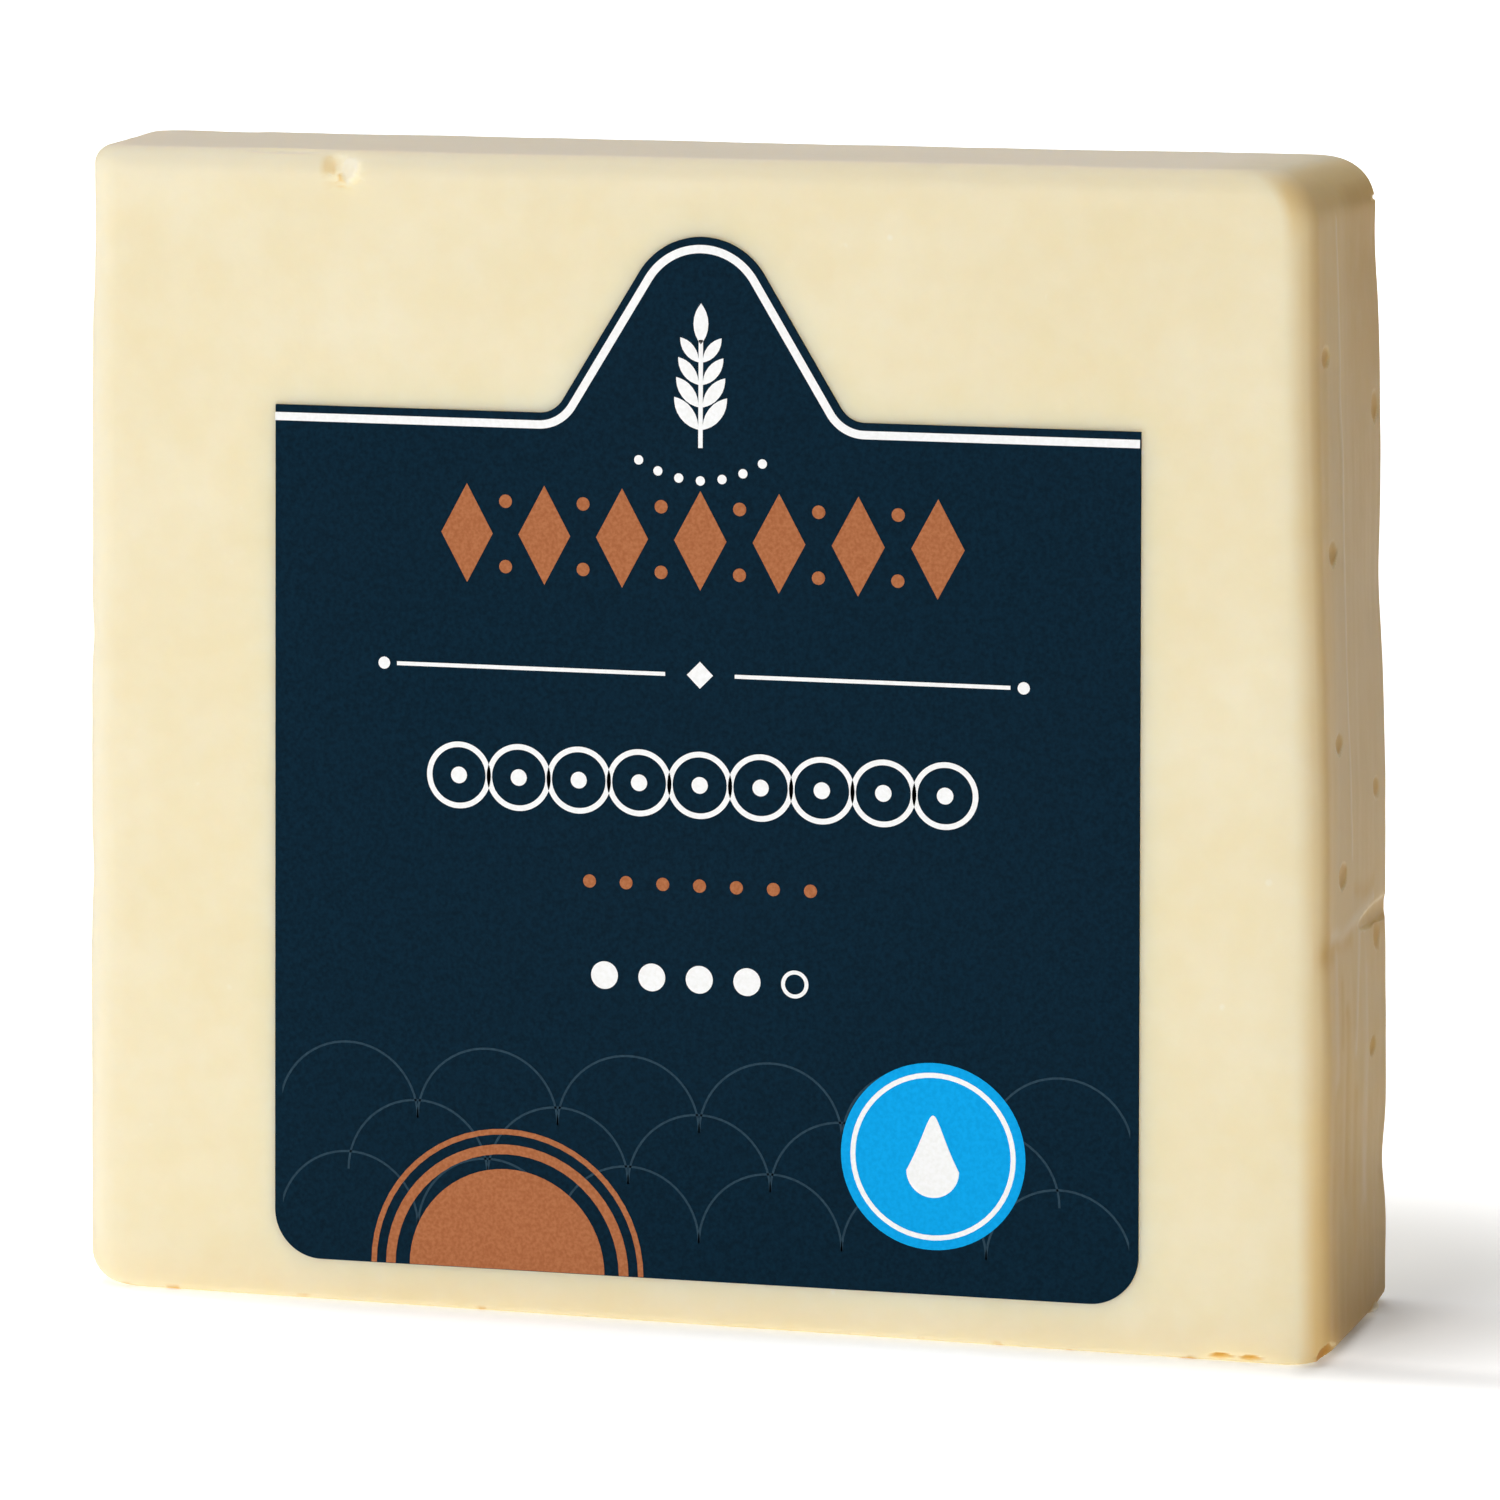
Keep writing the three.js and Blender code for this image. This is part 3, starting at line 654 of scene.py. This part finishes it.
labelForm = {
    "topWidth": 79.2,
    "baseWidth": 80.2,
    "base": 4.15,
    "shoulder": 81.35,      # height of the upper edge, beside the peak
    "baseShift": 0.25,      # it went on out of square: its base is shifted to the right, and rises there
    "baseRise": 0.65,
    "cornerRadius": 4.4,
    "peakRadius": 6.7,
    "flankLean": 31.5,      # degrees from upright
    "footRadius": 2.6,
    "edgeRound": 0.06,
    "arcStep": 4,           # degrees of an arc for each facet
    "weld": 0.001,
}
labelCentre = (labelLow.x + labelHigh.x) / 2 - labelForm["baseShift"]


def arcTo(bm, vert, centre, degrees, s):
    # carry a vertex round a centre, anticlockwise seen from the front
    steps = round(abs(degrees) / s["arcStep"])
    turned = bmesh.ops.spin(bm, geom=[vert], cent=(centre[0], 0, centre[1]), axis=(0, -1, 0),
                            angle=math.radians(degrees), steps=steps)
    return [v for v in turned["geom_last"] if isinstance(v, bmesh.types.BMVert)][0]


def lineTo(bm, vert, x, z):
    end = bm.verts.new((x, 0, z))
    bm.edges.new((vert, end))
    return end


def upperEdge(bm, vert, inset, s):
    # from the right end of the upper edge, over the peak and on to the left end, at an inset from the cut
    lean = math.radians(s["flankLean"])
    peakMiddle = labelHigh.z - s["peakRadius"]
    flankTop = peakMiddle + s["peakRadius"] * math.sin(lean)
    flankFoot = s["peakRadius"] * math.cos(lean) + (flankTop - s["shoulder"]) * math.tan(lean)
    footTurn = 90 - s["flankLean"]
    footX = flankFoot + s["footRadius"] * math.tan(math.radians(footTurn / 2))
    footZ = s["shoulder"] + s["footRadius"]
    peakIn, footOut = s["peakRadius"] - inset, s["footRadius"] + inset
    vert = lineTo(bm, vert, footX, s["shoulder"] - inset)
    vert = arcTo(bm, vert, (footX, footZ), -footTurn, s)
    vert = lineTo(bm, vert, peakIn * math.cos(lean), peakMiddle + peakIn * math.sin(lean))
    vert = arcTo(bm, vert, (0, peakMiddle), 180 - 2 * s["flankLean"], s)
    vert = lineTo(bm, vert, -footX + footOut * math.cos(lean), footZ - footOut * math.sin(lean))
    vert = arcTo(bm, vert, (-footX, footZ), -footTurn, s)
    return lineTo(bm, vert, -s["topWidth"] / 2, s["shoulder"] - inset)


def layOn(bm, y, s):
    # from the square drawing to the label's own place, a little out of square
    for vert in bm.verts:
        share = max(0, s["shoulder"] - vert.co.z) / (s["shoulder"] - s["base"])
        vert.co.z += s["baseRise"] * share * vert.co.x / s["baseWidth"]
        vert.co.x += s["baseShift"] * share
    bmesh.ops.translate(bm, vec=(labelCentre, y, 0), verts=bm.verts)


def thicken(bm, faces, thickness):
    raised = bmesh.ops.extrude_face_region(bm, geom=faces)["geom"]
    bmesh.ops.translate(bm, vec=(0, -thickness, 0),
                        verts=[v for v in raised if isinstance(v, bmesh.types.BMVert)])
    bmesh.ops.recalc_face_normals(bm, faces=bm.faces)


def buildLabel(s, material):
    bm = bmesh.new()
    reach = s["baseWidth"] / 2 - s["cornerRadius"]
    cornerZ = s["base"] + s["cornerRadius"]
    first = bm.verts.new((-reach, 0, s["base"]))
    vert = lineTo(bm, first, reach, s["base"])
    vert = arcTo(bm, vert, (reach, cornerZ), 90, s)
    vert = lineTo(bm, vert, s["topWidth"] / 2, s["shoulder"])
    vert = upperEdge(bm, vert, 0, s)
    vert = lineTo(bm, vert, -s["baseWidth"] / 2, cornerZ)
    arcTo(bm, vert, (-reach, cornerZ), 90, s)
    bmesh.ops.remove_doubles(bm, verts=bm.verts, dist=s["weld"])
    sheet = bmesh.ops.contextual_create(bm, geom=bm.edges)["faces"]
    thickness = labelHigh.y - labelLow.y
    thicken(bm, sheet, thickness)
    cutEdges = [e for e in bm.edges if all(v.co.y < -thickness / 2 for v in e.verts)]
    bmesh.ops.bevel(bm, geom=cutEdges, offset=s["edgeRound"], offset_type="OFFSET", affect="EDGES",
                    segments=2, profile=0.5, material=-1)
    layOn(bm, labelHigh.y, s)
    finishPiece("labelSheet", bm, material, "label", smooth=False)


labelLook = {
    "toothSize": 0.35,      # mm
    "toothDetail": 3.0,
    "toothBump": (0.15, 0.02),      # strength, and mm of height
    "cloudSize": 30,
    "cloudDetail": 2.0,
    "inkStops": [(0.3, "#031c2a"), (0.7, "#062638")],
    "roughness": (0.5, 0.62),
    "refraction": 1.45,
    "specular": 0.04,
}


def coatedLabelPaper(s):
    # coated label paper, flooded with navy ink: satin, with a faint tooth from the sheet below
    material, tree = newMaterial("coatedLabelPaperNavy")
    place = addNode(tree, "ShaderNodeTexCoord").outputs["Object"]
    tooth, cloud = [
        addNode(tree, "ShaderNodeTexNoise", {"Scale": 1 / (s[size] * mm), "Detail": s[detail]},
                {"Vector": place})
        for size, detail in (("toothSize", "toothDetail"), ("cloudSize", "cloudDetail"))
    ]
    ink = addNode(tree, "ShaderNodeValToRGB", {}, {"Fac": tooth.outputs["Fac"]}, s["inkStops"])
    smooth, rough = s["roughness"]
    sheen = addNode(tree, "ShaderNodeMapRange", {"To Min": smooth, "To Max": rough},
                    {"Value": cloud.outputs["Fac"]})
    strength, height = s["toothBump"]
    bump = addNode(tree, "ShaderNodeBump", {"Strength": strength, "Distance": height * mm},
                   {"Height": tooth.outputs["Fac"]})
    shader = addNode(tree, "ShaderNodeBsdfPrincipled", {
        "IOR": s["refraction"],
        "Specular IOR Level": s["specular"],
    }, {
        "Base Color": ink.outputs["Color"],
        "Roughness": sheen.outputs["Result"],
        "Normal": bump.outputs["Normal"],
    })
    addNode(tree, "ShaderNodeOutputMaterial", {}, {"Surface": shader.outputs["BSDF"]})
    return material


buildLabel(labelForm, coatedLabelPaper(labelLook))


# Print: flat shapes in four inks, each a thin film on the label

# a dot or disc has its radius and segments
printForm = {
    "inkThickness": 0.03,
    "sunk": 0.5,            # share of the thickness that lies in the sheet
    "layerStep": 0.6,       # share of it by which each layer of ink stands out further
    "bowStep": 6,           # degrees of a curved line for each facet
    "leafTaper": 2.2,       # power by which a leaf narrows to its ends
    "ruleInset": 0.68,
    "ruleWidth": 0.73,
    "sprig": {
        "foot": 78.7, "tip": 88.2, "stem": 0.4, "bare": 1.6, "pairs": 4, "leaf": (3.6, 1.35),
        "smaller": 0.08, "spread": 38, "tipOverlap": 0.4,
    },
    "sprigDots": {"z": 86.2, "radius": 10.4, "count": 7, "step": 11, "dot": (0.42, 16)},
    "lozenges": {
        "z": 70.5, "count": 7, "pitch": 7.2, "size": (4.8, 8.8), "dot": (0.6, 16), "dotRise": 0.33,
    },
    "fineRule": {
        "z": 58.6, "length": 25, "width": 0.35, "gap": 3.2, "lozenge": (2.4, 2.4),
        "dot": (0.55, 16), "dotGap": 1.2,
    },
    "chain": {"z": 48.8, "count": 9, "pitch": 5.6, "radius": 2.75, "width": 0.5, "dot": (0.75, 20)},
    "copperDots": {"z": 39.8, "count": 7, "pitch": 3.4, "dot": (0.6, 16)},
    "scale": {"z": 31.4, "count": 5, "filled": 4, "pitch": 4.4, "dot": (1.25, 28), "width": 0.35},
    "scallops": {
        "pitch": 13.2, "radius": 6.6, "rows": (7.6, 12.6, 17.6), "width": 0.2, "across": 6, "sideGap": 0.3,
    },
    "halfSun": {"x": -18, "disc": (9.2, 64), "rings": ((11.0, 0.9), (12.6, 0.5))},
    # the drop has its radius, its height and how far it narrows to its point
    "seal": {"x": 21.5, "z": 16.6, "disc": (8.4, 72), "ring": (7.3, 0.45), "drop": (2.4, 7.4, 0.55)},
}


def facing(x, z, sizeX=1, sizeZ=1):
    # from the flat XY of a created shape to the label's front, at a place and size
    upright = Matrix.Rotation(math.pi / 2, 4, "X")
    return Matrix.Translation((x, 0, z)) @ upright @ Matrix.Diagonal((sizeX, sizeZ, 1, 1))


def disc(bm, x, z, radius, segments):
    bmesh.ops.create_circle(bm, cap_ends=True, segments=segments, radius=1,
                            matrix=facing(x, z, radius, radius))


def lozenge(bm, x, z, size):
    bmesh.ops.create_circle(bm, cap_ends=True, segments=4, radius=1,
                            matrix=facing(x, z, size[0] / 2, size[1] / 2))


def bar(bm, x, z, length, width):
    bmesh.ops.create_grid(bm, x_segments=1, y_segments=1, size=0.5, matrix=facing(x, z, length, width))


def bow(bm, x, z, radius, width, start=0, sweep=360):
    # a line of even width round an arc: a short edge, spun
    turn = math.radians(start)
    reaches = (radius - width / 2, radius + width / 2)
    ends = [bm.verts.new((x + r * math.cos(turn), 0, z + r * math.sin(turn))) for r in reaches]
    edge = bm.edges.new(ends)
    bmesh.ops.spin(bm, geom=[*ends, edge], cent=(x, 0, z), axis=(0, -1, 0), angle=math.radians(sweep),
                   steps=round(sweep / printForm["bowStep"]), use_merge=sweep == 360)


def leaf(bm, x, z, size, lean):
    # a round squeezed to a point at both ends, standing on its foot
    length, width = size
    made = bmesh.ops.create_circle(bm, cap_ends=True, segments=20, radius=1, matrix=facing(0, 0))["verts"]
    for vert in made:
        taper = max(1 - abs(vert.co.z) ** printForm["leafTaper"], 0) * width / 2
        side = 0 if abs(vert.co.x) < tiny else math.copysign(taper, vert.co.x)
        vert.co = (side, 0, (vert.co.z + 1) * length / 2)
    bmesh.ops.rotate(bm, verts=made, cent=(0, 0, 0), matrix=Matrix.Rotation(math.radians(lean), 3, "Y"))
    bmesh.ops.translate(bm, verts=made, vec=(x, 0, z))


def drop(bm, x, z, radius, height, narrowing):
    # a round with its upper half drawn up to a point
    upright = facing(0, 0)
    made = bmesh.ops.create_circle(bm, cap_ends=True, segments=48, radius=radius, matrix=upright)["verts"]
    for vert in made:
        rise = max(vert.co.z, 0) / radius
        vert.co.x *= 1 - narrowing * rise
        vert.co.z += rise ** 2 * (height - 2 * radius)
    bmesh.ops.translate(bm, verts=made, vec=(x, 0, z + radius - height / 2))


def inRow(count, pitch):
    return [(i - (count - 1) / 2) * pitch for i in range(count)]


def contourRule(bm, s):
    # the line that follows the upper edge over the peak
    chains = []
    for inset in (s["ruleInset"], s["ruleInset"] + s["ruleWidth"]):
        end = labelForm["topWidth"] / 2 - labelForm["edgeRound"]
        first = bm.verts.new((end, 0, labelForm["shoulder"] - inset))
        before = set(bm.edges)
        upperEdge(bm, first, inset, labelForm)
        chains += [e for e in bm.edges if e not in before]
    bmesh.ops.bridge_loops(bm, edges=chains)


def whitePrint(bm, s):
    contourRule(bm, s)
    sprig = s["sprig"]
    height = sprig["tip"] - sprig["foot"]
    bar(bm, 0, sprig["foot"] + height / 2, sprig["stem"], height)
    for i in range(sprig["pairs"]):
        z = sprig["foot"] + sprig["bare"] + i * (height - sprig["bare"]) / sprig["pairs"]
        size = [side * (1 - sprig["smaller"] * i) for side in sprig["leaf"]]
        for way in (-1, 1):
            leaf(bm, way * sprig["stem"] / 2, z, size, way * sprig["spread"])
    leaf(bm, 0, sprig["tip"] - sprig["tipOverlap"], sprig["leaf"], 0)
    dots = s["sprigDots"]
    for turn in inRow(dots["count"], dots["step"]):
        angle = math.radians(turn - 90)
        across, rise = dots["radius"] * math.cos(angle), dots["radius"] * math.sin(angle)
        disc(bm, across, dots["z"] + rise, *dots["dot"])
    rule = s["fineRule"]
    lozenge(bm, 0, rule["z"], rule["lozenge"])
    for way in (-1, 1):
        bar(bm, way * (rule["gap"] + rule["length"] / 2), rule["z"], rule["length"], rule["width"])
        disc(bm, way * (rule["gap"] + rule["length"] + rule["dotGap"]), rule["z"], *rule["dot"])
    chain = s["chain"]
    for x in inRow(chain["count"], chain["pitch"]):
        bow(bm, x, chain["z"], chain["radius"], chain["width"])
        disc(bm, x, chain["z"], *chain["dot"])
    scale = s["scale"]
    for i, x in enumerate(inRow(scale["count"], scale["pitch"])):
        if i < scale["filled"]:
            disc(bm, x, scale["z"], *scale["dot"])
        else:
            bow(bm, x, scale["z"], scale["dot"][0] - scale["width"] / 2, scale["width"])
    seal = s["seal"]
    bow(bm, seal["x"], seal["z"], *seal["ring"])
    drop(bm, seal["x"], seal["z"], *seal["drop"])


def copperPrint(bm, s):
    band = s["lozenges"]
    places = inRow(band["count"], band["pitch"])
    for x in places:
        lozenge(bm, x, band["z"], band["size"])
    for x in places[1:]:
        for way in (-1, 1):
            rise = way * band["size"][1] * band["dotRise"]
            disc(bm, x - band["pitch"] / 2, band["z"] + rise, *band["dot"])
    dots = s["copperDots"]
    for x in inRow(dots["count"], dots["pitch"]):
        disc(bm, x, dots["z"], *dots["dot"])
    sun = s["halfSun"]
    disc(bm, sun["x"], labelForm["base"], *sun["disc"])
    for radius, width in sun["rings"]:
        bow(bm, sun["x"], labelForm["base"], radius, width)
    bmesh.ops.bisect_plane(bm, geom=[*bm.verts, *bm.edges, *bm.faces], clear_outer=True,
                           plane_co=(0, 0, labelForm["base"] + labelForm["edgeRound"]), plane_no=(0, 0, -1))


def cyanPrint(bm, s):
    seal = s["seal"]
    disc(bm, seal["x"], seal["z"], *seal["disc"])


def hairlinePrint(bm, s):
    scallops = s["scallops"]
    for row, z in enumerate(scallops["rows"]):
        for x in inRow(scallops["across"] - row % 2, scallops["pitch"]):
            bow(bm, x, z, scallops["radius"], scallops["width"], 0, 180)
    reach = labelForm["topWidth"] / 2 - scallops["sideGap"]
    for way in (-1, 1):
        bmesh.ops.bisect_plane(bm, geom=[*bm.verts, *bm.edges, *bm.faces], clear_outer=True,
                               plane_co=(way * reach, 0, 0), plane_no=(way, 0, 0))


def printInk(name, draw, layer, material, s):
    # draw the shapes flat, give them the ink's thickness and lay them on the label
    bm = bmesh.new()
    draw(bm, s)
    thickness = s["inkThickness"]
    thicken(bm, bm.faces[:], thickness)
    layOn(bm, labelLow.y + thickness * (s["sunk"] - layer * s["layerStep"]), labelForm)
    finishPiece(name, bm, material, smooth=False)


inkLook = {
    "detail": 2.0,
    "toneStops": (0.35, 0.65),
    "roughness": 0.6,
    "specular": 0.05,
    # each ink's dark and light tone, and mm of its speckle
    "slateInk": ("#263d4c", "#2d4655", 0.4),
    "copperInk": ("#a8643d", "#b8744c", 0.3),
    "cyanInk": ("#00a0e6", "#06abf0", 0.4),
    "opaqueWhiteInk": ("#f8f8f6", "#ffffff", 0.4),
}


def printedInk(name, s):
    # flexo ink on coated paper: flat and matt, broken by the finest speckle of the sheet
    material, tree = newMaterial(name)
    *tones, speckleSize = s[name]
    place = addNode(tree, "ShaderNodeTexCoord").outputs["Object"]
    speckle = addNode(tree, "ShaderNodeTexNoise", {"Scale": 1 / (speckleSize * mm), "Detail": s["detail"]},
                      {"Vector": place})
    tone = addNode(tree, "ShaderNodeValToRGB", {}, {"Fac": speckle.outputs["Fac"]},
                   list(zip(s["toneStops"], tones)))
    shader = addNode(tree, "ShaderNodeBsdfPrincipled", {
        "Roughness": s["roughness"],
        "Specular IOR Level": s["specular"],
    }, {"Base Color": tone.outputs["Color"]})
    addNode(tree, "ShaderNodeOutputMaterial", {}, {"Surface": shader.outputs["BSDF"]})
    return material


printInk("hairlinePrint", hairlinePrint, 0, printedInk("slateInk", inkLook), printForm)
printInk("copperPrint", copperPrint, 1, printedInk("copperInk", inkLook), printForm)
printInk("cyanPrint", cyanPrint, 1, printedInk("cyanInk", inkLook), printForm)
printInk("whitePrint", whitePrint, 2, printedInk("opaqueWhiteInk", inkLook), printForm)


# Stage: a pale floor and three soft lights, with the shadow falling to the right, partly painted into the
# floor's glow

studio = {
    "floorSize": 40.0,              # metres, as all the places and reaches here
    "floorCloud": 250,              # mm
    "floorStops": [(0.3, "#f4f4f4"), (0.7, "#f8f8f8")],
    "floorRoughness": 0.9,
    "floorSpecular": 0.1,
    "glow": {"near": 0.65, "far": 1.0, "start": 0.2, "end": 2.2},   # how much the floor shines by itself
    # painted shadows, where it shines less: middle, reach across and deep, the share of that with no fade,
    # how much less
    "paintedShadows": [
        ((0.05, 0.03, 0), (0.055, 0.055, 1), 0.18, 0.54),       # painted shadow behind the right end
        ((0.5, 0, 0), (0.45, 0.45, 1), 0.67, 0.45),             # painted shade, broad, away to the right
        ((0, -1, 0), (0.85, 0.85, 1), 0.76, 0.28),              # painted shade, broad, in front
        ((0, -0.0155, 0), (0.2, 0.006, 1), 0.0, 0.26),          # painted contact shadow along the front foot
        ((0.059, -0.004, 0), (0.0024, 0.018, 1), 0.1, 0.3),     # painted contact shadow along the right foot
    ],
    "surround": 0.02,
    "keyLight": {"place": (-0.96, 0.16, 3.05), "size": 2.2, "power": 57.0, "colour": "#ffffff"},
    "frontLight": {"place": (-0.66, -3.08, 0.5), "size": 0.9, "power": 36.5, "colour": "#ffffff"},
    "topLight": {"place": (-0.32, 2.24, 2.26), "size": 2.4, "power": 22.0, "colour": "#ffffff"},
}


def paleFloor(s):
    # matt white sweep, lit from within, so that it stays pale to its far edge, with painted shadows where
    # its glow is dimmed
    material, tree = newMaterial("mattWhiteSweep")
    place = addNode(tree, "ShaderNodeTexCoord").outputs["Object"]
    cloud = addNode(tree, "ShaderNodeTexNoise", {"Scale": 1 / (s["floorCloud"] * mm)}, {"Vector": place})
    tone = addNode(tree, "ShaderNodeValToRGB", {}, {"Fac": cloud.outputs["Fac"]}, s["floorStops"])
    glow = s["glow"]
    away = addNode(tree, "ShaderNodeVectorMath", {}, {0: place}, operation="LENGTH")
    shine = addNode(tree, "ShaderNodeMapRange", {
        "From Min": glow["start"], "From Max": glow["end"], "To Min": glow["near"], "To Max": glow["far"],
    }, {"Value": away.outputs["Value"]}).outputs["Result"]
    for middle, reach, full, less in s["paintedShadows"]:
        offset = addNode(tree, "ShaderNodeVectorMath", {1: middle}, {0: place}, operation="SUBTRACT")
        share = addNode(tree, "ShaderNodeVectorMath", {1: reach}, {0: offset.outputs["Vector"]},
                        operation="DIVIDE")
        away = addNode(tree, "ShaderNodeVectorMath", {}, {0: share.outputs["Vector"]}, operation="LENGTH")
        shadowDim = addNode(tree, "ShaderNodeMapRange", {"From Min": full, "To Min": -less, "To Max": 0.0},
                      {"Value": away.outputs["Value"]}, interpolation_type="SMOOTHSTEP")
        shine = addNode(tree, "ShaderNodeMath", {}, {0: shine, 1: shadowDim.outputs["Result"]}).outputs[0]
    shader = addNode(tree, "ShaderNodeBsdfPrincipled", {
        "Roughness": s["floorRoughness"],
        "Specular IOR Level": s["floorSpecular"],
        "Emission Color": linear("#ffffff"),
    }, {"Base Color": tone.outputs["Color"], "Emission Strength": shine})
    addNode(tree, "ShaderNodeOutputMaterial", {}, {"Surface": shader.outputs["BSDF"]})
    material.cycles.emission_sampling = "NONE"
    return material


def softLight(name, s):
    lamp = bpy.data.lights.new(name, "AREA")
    lamp.shape = "DISK"
    lamp.size = s["size"]
    lamp.energy = s["power"]
    lamp.color = linear(s["colour"])[:3]
    holder = bpy.data.objects.new(name, lamp)
    holder.location = s["place"]
    aim = Vector((0, 0, top / 2 * mm)) - holder.location
    holder.rotation_euler = aim.to_track_quat("-Z", "Y").to_euler()
    bpy.context.scene.collection.objects.link(holder)


def setStage(s):
    bm = bmesh.new()
    bmesh.ops.create_grid(bm, x_segments=2, y_segments=2, size=s["floorSize"] / 2)
    mesh = bpy.data.meshes.new("paleFloor")
    bm.to_mesh(mesh)
    bm.free()
    floor = bpy.data.objects.new("paleFloor", mesh)
    mesh.materials.append(paleFloor(s))
    bpy.context.scene.collection.objects.link(floor)
    for name in ("keyLight", "frontLight", "topLight"):
        softLight(name, s[name])
    world = bpy.data.worlds.new("softSurround")
    world.use_nodes = True
    surround = world.node_tree.nodes["Background"]
    surround.inputs["Color"].default_value = linear("#ffffff")
    surround.inputs["Strength"].default_value = s["surround"]
    bpy.context.scene.world = world
    bpy.context.scene.view_settings.view_transform = "Standard"
    print("stage set")


setStage(studio)
